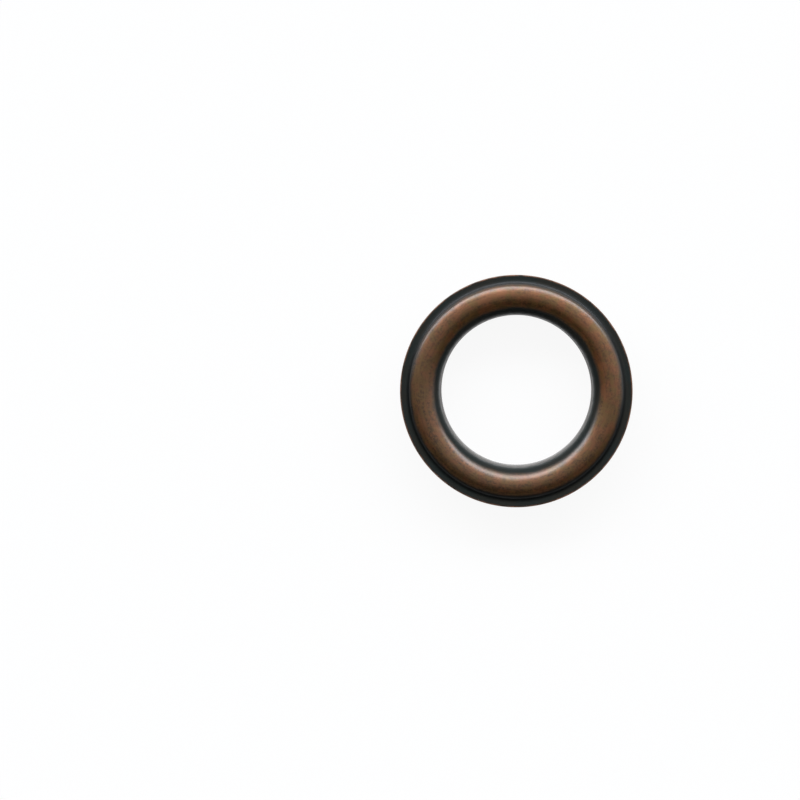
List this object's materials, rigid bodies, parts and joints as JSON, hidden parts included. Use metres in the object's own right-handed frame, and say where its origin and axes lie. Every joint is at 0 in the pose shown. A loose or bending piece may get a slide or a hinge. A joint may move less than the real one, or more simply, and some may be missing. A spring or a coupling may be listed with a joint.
{
  "type": "grommet eyelet",
  "caption": "Short tapered barrel with a wide domed flange and flat lip, drawn from one piece of sheet metal, to line and trim a punched hole in cloth.",
  "frame": {"origin": "centre of the barrel's open end, on the surface that the eyelet stands on", "axes": "+Z along the barrel's axis, towards the finished face of the flange; X and Y are free, as the piece is round"},
  "size_m": [0.0386, 0.0386, 0.0087],
  "materials": {
    "plate": "antique copper plate, darkened and relieved, satin"
  },
  "bodies": {
    "root": {"eyelet": "plate"}
  },
  "joints": []
}
